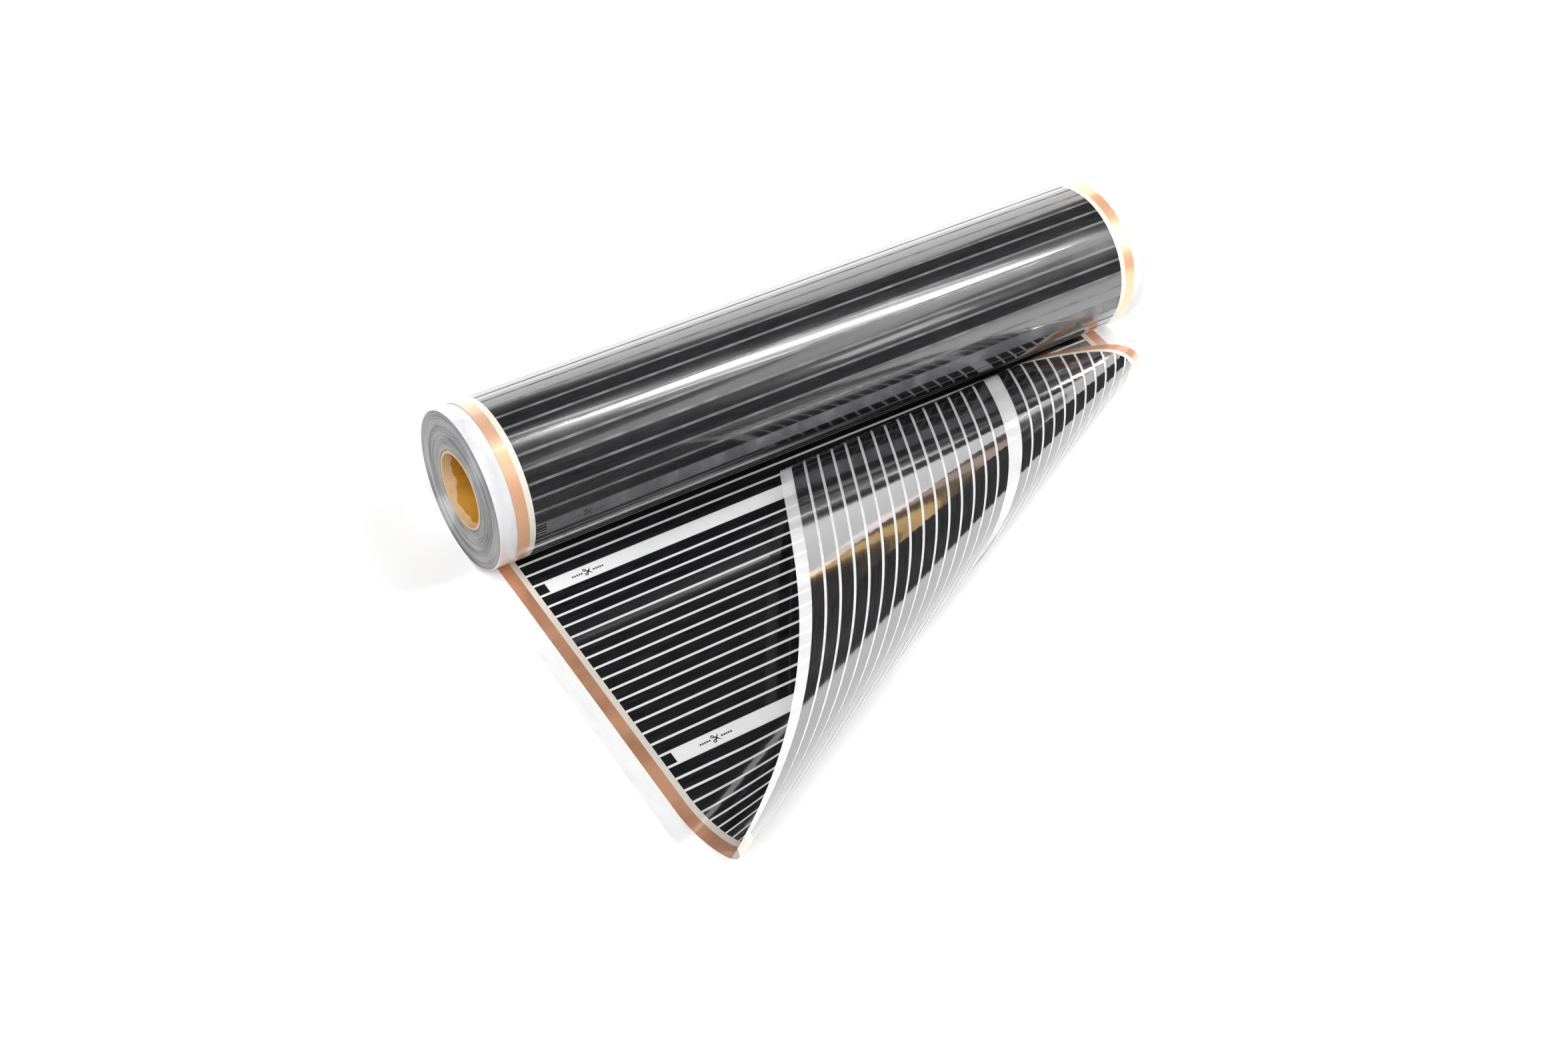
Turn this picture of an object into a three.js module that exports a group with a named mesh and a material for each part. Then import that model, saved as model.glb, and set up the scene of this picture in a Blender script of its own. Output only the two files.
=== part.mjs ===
// Part-used roll of infrared heating film, with a loose end that curls back over itself.
// Millimetres. +X runs along the roll, the loose end lies on the -Y side, and +Z is up.
// The origin is on the floor, under the middle of the roll, where the outermost turn rests.
import * as THREE from "three";

// Film
const FILM_WIDTH = 800;
const FILM_THICKNESS = 0.338;
const WOUND_LENGTH = 48300; // film still on the roll
const LOOSE_LENGTH = 566; // from the line under the roll's axis to the cut end

// Cardboard core
const CORE_BORE_RADIUS = 38;
const CORE_WALL = 3;
const FIT_GAP = 0.3; // between pieces that touch

// Roll: the outermost turn is drawn with flats, and it rests on one of them
const ROLL_SIDES = 40;
const TURN_GROOVES = 5; // hollows between turns that show on each end
const GROOVE_DEPTH = 0.8;
const GROOVE_WIDTH = 1.8;

// Fold: the straight line on the floor where the loose end starts to lift. It runs aslant, closest to the
// roll at the film's right edge. Beyond it the film is a cone, whose straight lines all meet in one apex.
const FOLD_CLEARANCE = 7.6; // from the roll's foremost line to the fold, at the film's right edge
const FOLD_ANGLE = 20; // degrees between the fold and the roll's axis
const APEX_BEYOND = 159; // from the film's right edge to the apex, measured across the film

// Bends of the curl. turn is how far past the fold a straight line of the cone lies, in degrees about the
// apex on the flat film. tightness is the distance from the apex divided by the radius that the film bends
// to there, which is the same all along the line. Between two of them the tightness changes evenly.
const BENDS = [
  { turn: 0, tightness: 13.5 },
  { turn: 2.8, tightness: 7.6 },
  { turn: 6.9, tightness: 9.5 },
  { turn: 11.1, tightness: 11.1 },
  { turn: 16.6, tightness: 9.7 },
  { turn: 22.2, tightness: 2.3 },
  { turn: 27.7, tightness: 0.3 },
  { turn: 32.2, tightness: 3.6 },
  { turn: 35.3, tightness: 24 },
  { turn: 38.4, tightness: 20 },
  { turn: 41.2, tightness: 3.1 },
  { turn: 60, tightness: 2.5 },
];
const STRIPS = 60; // flat strips along the curl
const SUBSTEPS = 4; // steps of the bend for each strip

// Sizes that follow from the driving ones
const coreOuterRadius = CORE_BORE_RADIUS + CORE_WALL;
const rollBoreRadius = coreOuterRadius + FIT_GAP;
const rollRadius = Math.sqrt(rollBoreRadius ** 2 + (WOUND_LENGTH * FILM_THICKNESS) / Math.PI);
const flatTurn = Math.PI / ROLL_SIDES; // half of the angle that one flat spans
const foldAngle = THREE.MathUtils.degToRad(FOLD_ANGLE);

const film = new THREE.MeshStandardMaterial({ color: 0x1d1d1f, roughness: 0.18, metalness: 0.0 });
const cardboard = new THREE.MeshStandardMaterial({ color: 0xd9b98a, roughness: 0.85, metalness: 0.0 });

// A ring about the roll's axis, from a closed outline of (radius, place along the axis) points.
function ringAboutAxis(outline) {
  const points = outline.map(([radius, along]) => new THREE.Vector2(radius, along));
  points.push(points[0].clone());
  const geometry = new THREE.LatheGeometry(points, ROLL_SIDES, flatTurn);
  geometry.rotateZ(-Math.PI / 2);
  return geometry;
}

// The grooves of one end face as outline points, from the bore outwards. side is +1 or -1.
function groovedEnd(side) {
  const face = (side * FILM_WIDTH) / 2;
  const floorOfGroove = face - side * GROOVE_DEPTH;
  const spacing = (rollRadius - rollBoreRadius) / (TURN_GROOVES + 1);
  const points = [];
  for (let i = 1; i <= TURN_GROOVES; i += 1) {
    const radius = rollBoreRadius + i * spacing;
    points.push([radius - GROOVE_WIDTH / 2, face]);
    points.push([radius, floorOfGroove]);
    points.push([radius + GROOVE_WIDTH / 2, face]);
  }
  return points;
}

function filmRoll() {
  const half = FILM_WIDTH / 2;
  const rim = rollRadius / Math.cos(flatTurn); // corners stand out so that the flats are at the radius
  const outline = [
    [rollBoreRadius, -half],
    ...groovedEnd(-1),
    [rim, -half],
    [rim, half],
    ...groovedEnd(1).reverse(),
    [rollBoreRadius, half],
  ];
  return ringAboutAxis(outline);
}

function coreTube() {
  const half = FILM_WIDTH / 2;
  const outline = [
    [CORE_BORE_RADIUS, -half],
    [coreOuterRadius, -half],
    [coreOuterRadius, half],
    [CORE_BORE_RADIUS, half],
  ];
  return ringAboutAxis(outline);
}

// Tightness of the curl's bend at a turn past the fold, in radians.
function tightnessAt(turn) {
  const degrees = THREE.MathUtils.radToDeg(turn);
  const next = BENDS.findIndex((bend) => bend.turn > degrees);
  if (next < 0) return BENDS[BENDS.length - 1].tightness;
  const [a, b] = [BENDS[next - 1], BENDS[next]];
  return THREE.MathUtils.mapLinear(degrees, a.turn, b.turn, a.tightness, b.tightness);
}

// Rows of the loose end, from the roll to the film's last corner. Each row is a straight line of the film:
// its right end, its left end, and the direction of the film's upper face there.
function looseEndRows() {
  const up = new THREE.Vector3(0, 0, 1);
  const foldAlong = rollRadius + FOLD_CLEARANCE;
  const apexAlong = foldAlong - APEX_BEYOND * Math.tan(foldAngle);
  const apex = new THREE.Vector3(FILM_WIDTH / 2 + APEX_BEYOND, -apexAlong, 0);
  const cutAlong = LOOSE_LENGTH - apexAlong;

  // Where the outermost turn has risen enough for the film's thickness to pass below it
  const halfFlat = rollRadius * Math.tan(flatTurn);
  const startAlong = halfFlat + (FILM_THICKNESS + FIT_GAP) / Math.tan(2 * flatTurn);
  const rows = [
    {
      right: new THREE.Vector3(FILM_WIDTH / 2, -startAlong, 0),
      left: new THREE.Vector3(-FILM_WIDTH / 2, -startAlong, 0),
      up: up.clone(),
    },
  ];

  // Turning angles about the apex, on the flat film, of its two far corners
  const toRightCorner = Math.PI - foldAngle - Math.atan2(cutAlong, -APEX_BEYOND);
  const toLeftCorner = Math.PI - foldAngle - Math.atan2(cutAlong, -(APEX_BEYOND + FILM_WIDTH));
  const leftStrips = Math.max(2, Math.round((STRIPS * toLeftCorner) / toRightCorner));
  const turns = [];
  for (let i = 0; i <= leftStrips; i += 1) turns.push((toLeftCorner * i) / leftStrips);
  const rest = STRIPS - leftStrips;
  for (let i = 1; i <= rest; i += 1) {
    turns.push(toLeftCorner + ((toRightCorner - toLeftCorner) * i) / rest);
  }

  const along = new THREE.Vector3(-Math.cos(foldAngle), -Math.sin(foldAngle), 0);
  const normal = up.clone();
  let reached = 0;
  for (const turn of turns) {
    const step = (turn - reached) / SUBSTEPS;
    for (let i = 0; i < SUBSTEPS && step > 0; i += 1) {
      const spin = normal.clone().addScaledVector(along, tightnessAt(reached + (i + 0.5) * step));
      const turned = new THREE.Quaternion().setFromAxisAngle(spin.clone().normalize(), spin.length() * step);
      along.applyQuaternion(turned);
      normal.applyQuaternion(turned);
    }
    reached = turn;
    const heading = Math.PI - foldAngle - turn;
    const toRightEdge = -APEX_BEYOND / Math.cos(heading);
    const toLeftEdge = -(APEX_BEYOND + FILM_WIDTH) / Math.cos(heading);
    const toCutEnd = cutAlong / Math.sin(heading);
    rows.push({
      right: apex.clone().addScaledVector(along, toRightEdge),
      left: apex.clone().addScaledVector(along, Math.min(toLeftEdge, toCutEnd)),
      up: normal.clone(),
    });
  }
  return rows;
}

// The loose end as one thin closed body. The last row is a single corner of the film.
function looseEnd() {
  const rows = looseEndRows();
  const lastRow = rows.length - 1;
  const triangles = [];
  const corners = rows.map(({ right, left, up }) => ({
    right,
    left,
    rightTop: right.clone().addScaledVector(up, FILM_THICKNESS),
    leftTop: left.clone().addScaledVector(up, FILM_THICKNESS),
  }));
  for (let i = 0; i < lastRow; i += 1) {
    const a = corners[i];
    const b = corners[i + 1];
    const closing = i + 1 === lastRow;
    triangles.push([a.right, b.right, a.left], [a.rightTop, a.leftTop, b.rightTop]);
    if (!closing) {
      triangles.push([b.right, b.left, a.left], [b.rightTop, a.leftTop, b.leftTop]);
    }
    const c = closing ? { left: b.right, leftTop: b.rightTop } : b;
    triangles.push([a.right, a.rightTop, b.right], [a.rightTop, b.rightTop, b.right]);
    triangles.push([a.left, c.left, a.leftTop], [a.leftTop, c.left, c.leftTop]);
  }
  const first = corners[0];
  triangles.push([first.right, first.left, first.leftTop], [first.right, first.leftTop, first.rightTop]);
  return new THREE.BufferGeometry().setFromPoints(triangles.flat());
}

function named(name, geometry, material) {
  const mesh = new THREE.Mesh(geometry, material);
  mesh.name = name;
  return mesh;
}

const roll = new THREE.Group();
roll.position.z = rollRadius;
roll.add(named("film_roll", filmRoll(), film));
roll.add(named("core_tube", coreTube(), cardboard));

const part = new THREE.Group();
part.add(roll);
part.add(named("loose_end", looseEnd(), film));

export default part;
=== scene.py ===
"""Infrared heating film: a part-used roll whose loose end curls back over itself.

Everything is in metres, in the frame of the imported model: +X runs along the roll, the loose end lies on the
-Y side, +Z is up, and the origin is on the floor under the middle of the roll. The film is modelled flat, in
film coordinates. Each finished piece is then laid along the path that the film takes: round the roll, over the
floor and up the curl.
"""

import logging
import math
import random
from collections.abc import Iterator, Sequence
from dataclasses import dataclass, field
from enum import Enum

import bmesh
import bpy
from mathutils import Matrix, Quaternion, Vector


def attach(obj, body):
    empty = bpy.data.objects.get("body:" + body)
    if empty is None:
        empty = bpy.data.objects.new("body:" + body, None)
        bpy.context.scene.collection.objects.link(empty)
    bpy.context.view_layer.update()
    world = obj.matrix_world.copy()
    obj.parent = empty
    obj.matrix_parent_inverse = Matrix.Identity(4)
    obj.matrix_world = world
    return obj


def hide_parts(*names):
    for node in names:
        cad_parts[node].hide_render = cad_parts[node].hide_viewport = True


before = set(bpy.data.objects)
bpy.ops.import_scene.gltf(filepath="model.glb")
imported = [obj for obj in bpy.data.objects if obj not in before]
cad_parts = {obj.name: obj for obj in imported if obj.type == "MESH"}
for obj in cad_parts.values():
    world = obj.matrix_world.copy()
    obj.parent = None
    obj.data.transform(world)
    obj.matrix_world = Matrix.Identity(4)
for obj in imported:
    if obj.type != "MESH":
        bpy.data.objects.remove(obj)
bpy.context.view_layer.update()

LOG = logging.getLogger("heating_film")
BODY = "root"
FILM_MAP = "FilmMap"
MM = 0.001

# Edges that turn by more than this many degrees are shaded sharp
SHARP_ANGLE = 35
SHARP_ANGLE_OF_TURNS = 50

# Vertices closer than this are merged
SLAB_WELD = 0.01 * MM
SPIN_WELD = 0.001 * MM

# Where the outermost turn passes into the loose end, along the film
LIFT_OFF = 1.8 * MM

Colour = tuple[float, float, float]
WHITE: Colour = (1, 1, 1)
PINKISH: Colour = (1, 0.72, 0.6)
GOLDEN: Colour = (1, 0.65, 0.25)


class Slot(Enum):
    """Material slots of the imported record."""

    FILM = "film"
    CARDBOARD = "cardboard"


class Face(Enum):
    """Which side of the film a face of a slab is on."""

    BACK = 0
    FRONT = 1


class Zone(Enum):
    """What shows on a face of the wound turns, in the order of its material slots."""

    TURN_ENDS = 0
    MARGIN = 1
    BUSBAR = 2
    CONTACT = 3
    CARBON = 4


@dataclass(frozen=True)
class Span:
    """A stretch of the film, in metres, either across it or along it.

    Attributes:
        start: Where the stretch begins.
        end: Where it ends.
        steps: How many mesh faces it is split into.
    """

    start: float
    end: float
    steps: int = 1

    @property
    def length(self) -> float:
        """Length of the stretch."""
        return self.end - self.start

    @property
    def middle(self) -> float:
        """Middle of the stretch."""
        return (self.start + self.end) / 2


@dataclass(frozen=True)
class Bend:
    """How tightly the curl bends at one straight line of its cone.

    Attributes:
        turn: Degrees past the fold, about the cone's apex.
        tightness: Distance from the apex divided by the radius of the bend.
    """

    turn: float
    tightness: float


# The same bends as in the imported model's loose end
CURL_BENDS = (
    Bend(0, 13.5),
    Bend(2.8, 7.6),
    Bend(6.9, 9.5),
    Bend(11.1, 11.1),
    Bend(16.6, 9.7),
    Bend(22.2, 2.3),
    Bend(27.7, 0.3),
    Bend(32.2, 3.6),
    Bend(35.3, 24),
    Bend(38.4, 20),
    Bend(41.2, 3.1),
    Bend(60, 2.5),
)


@dataclass
class FilmPath:
    """The way that the film takes, and the only place that knows it.

    Attributes:
        width: Width of the film.
        thickness: Thickness of the film.
        wound_length: Length of film still on the roll.
        loose_length: Length of film from the line under the roll's axis to the cut end.
        bore_radius: Radius of the innermost turn.
        fold_clearance: From the roll's foremost line to the fold, at the film's right edge.
        fold_angle: Angle between the fold and the roll's axis, in degrees.
        apex_beyond: From the film's right edge to the apex of the curl's cone.
        step: Degrees between two stored directions of the curl.
        reach: Degrees past the fold that are stored.
        directions: The stored directions, of the cone's straight line and of the film's upper face.
    """

    width: float = 800 * MM
    thickness: float = 0.338 * MM
    wound_length: float = 48300 * MM
    loose_length: float = 566 * MM
    bore_radius: float = 41.3 * MM
    fold_clearance: float = 7.6 * MM
    fold_angle: float = 20
    apex_beyond: float = 159 * MM
    step: float = 0.05
    reach: float = 62
    directions: list[tuple[Vector, Vector]] = field(default_factory=list)

    def __post_init__(self) -> None:
        """Works out the roll's radius, the apex and the curl's stored directions."""
        wound_area = self.wound_length * self.thickness / math.pi
        self.radius = math.sqrt(self.bore_radius**2 + wound_area)
        fold_along = self.radius + self.fold_clearance
        self.apex_along = fold_along - self.apex_beyond * math.tan(math.radians(self.fold_angle))
        self.apex_across = self.width + self.apex_beyond
        self.apex = Vector((self.width / 2 + self.apex_beyond, -self.apex_along, 0))
        self._store_directions()

    def _store_directions(self) -> None:
        """Rolls the film's straight line over the cone, step by step, from the fold onwards."""
        angle = math.radians(self.fold_angle)
        outwards = Vector((-math.cos(angle), -math.sin(angle), 0))
        upwards = Vector((0, 0, 1))
        step = math.radians(self.step)
        for index in range(round(self.reach / self.step) + 1):
            self.directions.append((outwards.copy(), upwards.copy()))
            spin = upwards + outwards * self.tightness_at((index + 0.5) * self.step)
            turned = Quaternion(spin.normalized(), spin.length * step)
            outwards.rotate(turned)
            upwards.rotate(turned)

    def tightness_at(self, turn: float) -> float:
        """Tightness of the bend at a turn past the fold, in degrees.

        Args:
            turn: Degrees past the fold.

        Returns:
            The tightness, which changes evenly between two stated bends.
        """
        for before, after in zip(CURL_BENDS, CURL_BENDS[1:]):
            if turn < after.turn:
                share = (turn - before.turn) / (after.turn - before.turn)
                return before.tightness + share * (after.tightness - before.tightness)
        return CURL_BENDS[-1].tightness

    def place(self, across: float, along: float, height: float) -> Vector:
        """Finds where a point of the flat film lies.

        Args:
            across: Distance from the film's left edge.
            along: Distance from the line under the roll's axis, positive towards the cut end.
            height: Height above the face that lies on the floor.

        Returns:
            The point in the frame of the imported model.
        """
        if along < 0:
            return self._wound(across, along, height)
        right = across - self.apex_across
        forward = along - self.apex_along
        turn = 180 - self.fold_angle - math.degrees(math.atan2(forward, right))
        if forward <= 0 or turn <= 0:
            return Vector((across - self.width / 2, -along, height))
        outwards, upwards = self._direction(turn)
        return self.apex + outwards * math.hypot(right, forward) + upwards * height

    def _wound(self, across: float, along: float, height: float) -> Vector:
        """Finds where a point of the outermost turn lies.

        Args:
            across: Distance from the film's left edge.
            along: Distance from the line under the roll's axis, negative on the roll.
            height: Height above the face that is outside on the roll.

        Returns:
            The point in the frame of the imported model.
        """
        angle = -along / self.radius
        distance = self.radius - height - self.thickness * angle / math.tau
        return Vector(
            (
                across - self.width / 2,
                distance * math.sin(angle),
                self.radius - distance * math.cos(angle),
            )
        )

    def _direction(self, turn: float) -> tuple[Vector, Vector]:
        """Reads the stored directions at a turn past the fold, in degrees.

        Args:
            turn: Degrees past the fold.

        Returns:
            The direction of the cone's straight line, and that of the film's upper face.
        """
        last = len(self.directions) - 2
        place = turn / self.step
        index = min(int(place), last)
        share = min(place - index, 1)
        outwards, upwards = self.directions[index]
        next_outwards, next_upwards = self.directions[index + 1]
        return outwards.lerp(next_outwards, share), upwards.lerp(next_upwards, share)


@dataclass(frozen=True)
class FilmPattern:
    """Where the conductors and the carbon stripes lie on the film.

    Attributes:
        width: Width of the film.
        margin: Clear margin at each edge.
        busbar: Width of each copper busbar.
        contact: Width of the silver contact strip beside each busbar.
        stripe: Length of a carbon stripe, along the film.
        pitch: From one stripe to the next.
        first_stripe: Where stripe 0 begins.
        label_every: One stripe in this many is left out, for the printed marks.
        label_offset: Number of the first stripe past 0 that is left out.
    """

    width: float = 800 * MM
    margin: float = 18.8 * MM
    busbar: float = 12.5 * MM
    contact: float = 6.2 * MM
    stripe: float = 12.2 * MM
    pitch: float = 14.905 * MM
    first_stripe: float = 94.25 * MM
    label_every: int = 16
    label_offset: int = 15

    @property
    def field_start(self) -> float:
        """Where the carbon begins, across the film."""
        return self.margin + self.busbar + self.contact

    def busbars(self) -> tuple[Span, Span]:
        """The two copper busbars."""
        left = Span(self.margin, self.margin + self.busbar, 3)
        return left, self.mirrored(left)

    def contacts(self) -> tuple[Span, Span]:
        """The two silver contact strips."""
        left = Span(self.margin + self.busbar, self.field_start, 2)
        return left, self.mirrored(left)

    def carbon(self) -> Span:
        """The carbon, between the two contact strips."""
        return Span(self.field_start, self.width - self.field_start, 145)

    def columns(self) -> list[Span]:
        """All stretches across the film, from edge to edge."""
        margin = Span(0, self.margin, 4)
        left_bar, right_bar = self.busbars()
        left_contact, right_contact = self.contacts()
        return [
            margin,
            left_bar,
            left_contact,
            self.carbon(),
            right_contact,
            right_bar,
            self.mirrored(margin),
        ]

    def mirrored(self, span: Span) -> Span:
        """The same stretch at the film's other edge."""
        return Span(self.width - span.end, self.width - span.start, span.steps)

    def is_label(self, number: int) -> bool:
        """Whether a stripe is left out for the printed marks."""
        return number % self.label_every == self.label_offset

    def stripe_span(self, number: int, steps: int = 4) -> Span:
        """Where a stripe lies, along the film."""
        start = self.first_stripe + number * self.pitch
        return Span(start, start + self.stripe, steps)

    def numbers(self, start: float, end: float) -> Iterator[int]:
        """Numbers of the stripes that lie wholly between two places along the film.

        Args:
            start: Where the stretch of film begins.
            end: Where it ends.

        Returns:
            The numbers of its whole stripes, in order.
        """
        first = math.ceil((start - self.first_stripe) / self.pitch)
        last = math.floor((end - self.stripe - self.first_stripe) / self.pitch)
        yield from range(first, last + 1)


class Slab:
    """A flat piece of the film, built from small flat shapes and then laid along the film's path."""

    def __init__(self, low: float, high: float) -> None:
        """Starts an empty slab.

        Args:
            low: Height of its lower face above the floor side of the film.
            high: Height of its upper face.
        """
        self.low = low
        self.high = high
        self.mesh = bmesh.new()

    def rectangle(self, across: Span, along: Span) -> None:
        """Adds one flat grid of the slab's outline.

        Args:
            across: The grid's stretch across the film.
            along: Its stretch along the film.
        """
        middle = Vector((across.middle, along.middle, 0))
        size = Matrix.Diagonal((across.length, along.length, 1, 1))
        bmesh.ops.create_grid(
            self.mesh,
            x_segments=across.steps,
            y_segments=along.steps,
            size=0.5,
            matrix=Matrix.Translation(middle) @ size,
        )

    def disc(self, across: float, along: float, radius: float, sides: int = 10) -> None:
        """Adds one flat round dot.

        Args:
            across: Middle of the dot, across the film.
            along: Its middle, along the film.
            radius: Its radius.
            sides: Sides of its outline.
        """
        bmesh.ops.create_circle(
            self.mesh,
            cap_ends=True,
            segments=sides,
            radius=radius,
            matrix=Matrix.Translation((across, along, 0)),
        )

    def ring(self, across: float, along: float, radius: float, bore: float, sides: int = 14) -> None:
        """Adds one flat ring.

        Args:
            across: Middle of the ring, across the film.
            along: Its middle, along the film.
            radius: Its outer radius.
            bore: Its inner radius.
            sides: Sides of its outlines.
        """
        matrix = Matrix.Translation((across, along, 0))
        outer = bmesh.ops.create_circle(self.mesh, segments=sides, radius=radius, matrix=matrix)["verts"]
        inner = bmesh.ops.create_circle(self.mesh, segments=sides, radius=bore, matrix=matrix)["verts"]
        edges = {edge for vertex in (*outer, *inner) for edge in vertex.link_edges}
        bmesh.ops.bridge_loops(self.mesh, edges=list(edges))

    def blade(self, start: Vector, end: Vector, width: float, narrowing: float = 0.3) -> None:
        """Adds one flat tapering blade, widest at its start.

        Args:
            start: Middle of its wide end.
            end: Middle of its narrow end.
            width: Width of the wide end.
            narrowing: Width of the narrow end, as a share of the wide one.
        """
        direction = end - start
        turn = math.atan2(direction.y, direction.x)
        matrix = Matrix.Translation((start + end) / 2) @ Matrix.Rotation(turn, 4, "Z")
        made = bmesh.ops.create_grid(
            self.mesh,
            x_segments=2,
            y_segments=1,
            size=0.5,
            matrix=matrix @ Matrix.Diagonal((direction.length, width, 1, 1)),
        )["verts"]
        tip = [vertex for vertex in made if (vertex.co - end).length < width]
        bmesh.ops.scale(self.mesh, vec=(narrowing, narrowing, 1), space=Matrix.Translation(-end), verts=tip)

    def finish(self, name: str, path: FilmPath) -> bpy.types.Object:
        """Gives the slab its thickness and lays it along the path.

        Args:
            name: Name of the new piece.
            path: Path that the film takes.

        Returns:
            The new object, linked to the scene. Its faces carry material index 1 on the film's front and 0
            elsewhere, and its map holds the film coordinates of each corner.
        """
        mesh = self.mesh
        bmesh.ops.remove_doubles(mesh, verts=mesh.verts, dist=SLAB_WELD)
        bmesh.ops.translate(mesh, vec=(0, 0, self.low), verts=mesh.verts)
        for face in mesh.faces:
            face.material_index = Face.BACK.value
            if face.normal.z > 0:
                face.normal_flip()
        top = bmesh.ops.extrude_face_region(mesh, geom=mesh.faces[:], use_keep_orig=True)["geom"]
        raised = [part for part in top if isinstance(part, bmesh.types.BMVert)]
        bmesh.ops.translate(mesh, vec=(0, 0, self.high - self.low), verts=raised)
        for part in top:
            if isinstance(part, bmesh.types.BMFace):
                part.material_index = Face.FRONT.value
        bmesh.ops.recalc_face_normals(mesh, faces=mesh.faces)
        film_map = mesh.loops.layers.uv.new(FILM_MAP)
        for face in mesh.faces:
            for loop in face.loops:
                loop[film_map].uv = loop.vert.co.xy
        for vertex in mesh.verts:
            vertex.co = path.place(*vertex.co)
        return finished_object(name, mesh)


def spun(outline: Sequence[tuple[float, float]], height: float, steps: int) -> bmesh.types.BMesh:
    """Spins a closed outline about the roll's axis.

    Args:
        outline: Points as (place along the roll, distance from its axis).
        height: Height of the axis above the floor.
        steps: Steps round the axis.

    Returns:
        The new bmesh, closed, with its faces pointing outwards.
    """
    mesh = bmesh.new()
    points = [mesh.verts.new((along, 0, height - distance)) for along, distance in outline]
    edges = [mesh.edges.new(pair) for pair in zip(points, points[1:] + points[:1])]
    bmesh.ops.spin(
        mesh,
        geom=points + edges,
        cent=(0, 0, height),
        axis=(1, 0, 0),
        angle=math.tau,
        steps=steps,
        use_merge=True,
    )
    bmesh.ops.remove_doubles(mesh, verts=mesh.verts, dist=SPIN_WELD)
    bmesh.ops.recalc_face_normals(mesh, faces=mesh.faces)
    return mesh


def finished_object(
    name: str, mesh: bmesh.types.BMesh, smooth_below: float = SHARP_ANGLE
) -> bpy.types.Object:
    """Turns a bmesh into a linked object at the origin, smooth except at its sharp edges.

    Args:
        name: Name of the object.
        mesh: Finished bmesh, which is freed.
        smooth_below: Edges that turn by more than this many degrees stay sharp.

    Returns:
        The new object.
    """
    data = bpy.data.meshes.new(name)
    mesh.to_mesh(data)
    mesh.free()
    data.shade_smooth()
    data.set_sharp_from_angle(angle=math.radians(smooth_below))
    made = bpy.data.objects.new(name, data)
    bpy.context.scene.collection.objects.link(made)
    return made


def dress(piece: bpy.types.Object, slot: Slot, *materials: bpy.types.Material) -> bpy.types.Object:
    """Gives a piece its materials, and lets it ride on the part.

    Args:
        piece: The piece.
        slot: Slot of the record that the finish belongs to. Not used.
        materials: One material for each material index of its faces.

    Returns:
        The piece.
    """
    for material in materials:
        piece.data.materials.append(material)
    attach(piece, BODY)
    LOG.info("%s: %d faces", piece.name, len(piece.data.polygons))
    return piece


class Nodes:
    """A node tree with short ways to add and join its nodes."""

    def __init__(self, tree: bpy.types.NodeTree) -> None:
        """Wraps a node tree."""
        self.tree = tree

    def add(self, kind: str, **settings: object) -> bpy.types.Node:
        """Adds a node and sets its own settings.

        Args:
            kind: Type of the node.
            settings: Its own settings, by name.

        Returns:
            The node.
        """
        node = self.tree.nodes.new(kind)
        for name, value in settings.items():
            setattr(node, name, value)
        return node

    def feed(self, socket: bpy.types.NodeSocket, source: object) -> None:
        """Joins a socket to another one, or sets it to a plain value.

        Args:
            socket: The socket to feed.
            source: Another socket, or a value.
        """
        if isinstance(source, bpy.types.NodeSocket):
            self.tree.links.new(source, socket)
        else:
            socket.default_value = source

    def math(self, operation: str, *values: object) -> bpy.types.NodeSocket:
        """Adds one step of arithmetic and returns its result.

        Args:
            operation: Name of the step.
            values: Sockets or numbers that it works on.

        Returns:
            The socket of the result.
        """
        node = self.add("ShaderNodeMath", operation=operation)
        for socket, value in zip(node.inputs, values):
            self.feed(socket, value)
        return node.outputs[0]

    def ramp(
        self, value: object, low: object, high: object, to_low: object = 0, to_high: object = 1
    ) -> bpy.types.NodeSocket:
        """Maps a value from one range onto another, clamped.

        Args:
            value: The value to map.
            low: Start of its range.
            high: End of its range.
            to_low: What the start becomes.
            to_high: What the end becomes.

        Returns:
            The socket of the result.
        """
        node = self.add("ShaderNodeMapRange", interpolation_type="SMOOTHSTEP")
        names = ("Value", "From Min", "From Max", "To Min", "To Max")
        for name, source in zip(names, (value, low, high, to_low, to_high)):
            self.feed(node.inputs[name], source)
        return node.outputs[0]

    def blend(self, share: object, first: object, second: object) -> bpy.types.NodeSocket:
        """Mixes two colours by a share and returns the result.

        Args:
            share: Share of the second colour.
            first: First colour.
            second: Second colour.

        Returns:
            The socket of the mixed colour.
        """
        node = self.add("ShaderNodeMix", data_type="RGBA")
        self.feed(node.inputs["Factor"], share)
        self.feed(node.inputs[6], first)
        self.feed(node.inputs[7], second)
        return node.outputs[2]

    def noise(
        self, vector: object, scale: object = 1, detail: object = 2, roughness: object = 0.5
    ) -> bpy.types.NodeSocket:
        """Adds a noise pattern and returns its value.

        Args:
            vector: Coordinates.
            scale: Blotches per unit of the coordinates.
            detail: Finer layers in the pattern.
            roughness: Strength of the finer layers.

        Returns:
            The socket of the pattern's value.
        """
        node = self.add("ShaderNodeTexNoise")
        self.feed(node.inputs["Vector"], vector)
        self.feed(node.inputs["Scale"], scale)
        self.feed(node.inputs["Detail"], detail)
        self.feed(node.inputs["Roughness"], roughness)
        return node.outputs[0]

    def stretched(self, vector: object, scale: object) -> bpy.types.NodeSocket:
        """Scales a vector, so that a pattern on it is stretched.

        Args:
            vector: Coordinates.
            scale: Scale along each axis, as a socket or three numbers.

        Returns:
            The socket of the scaled coordinates.
        """
        node = self.add("ShaderNodeMapping")
        self.feed(node.inputs["Vector"], vector)
        self.feed(node.inputs["Scale"], scale)
        return node.outputs[0]


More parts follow.
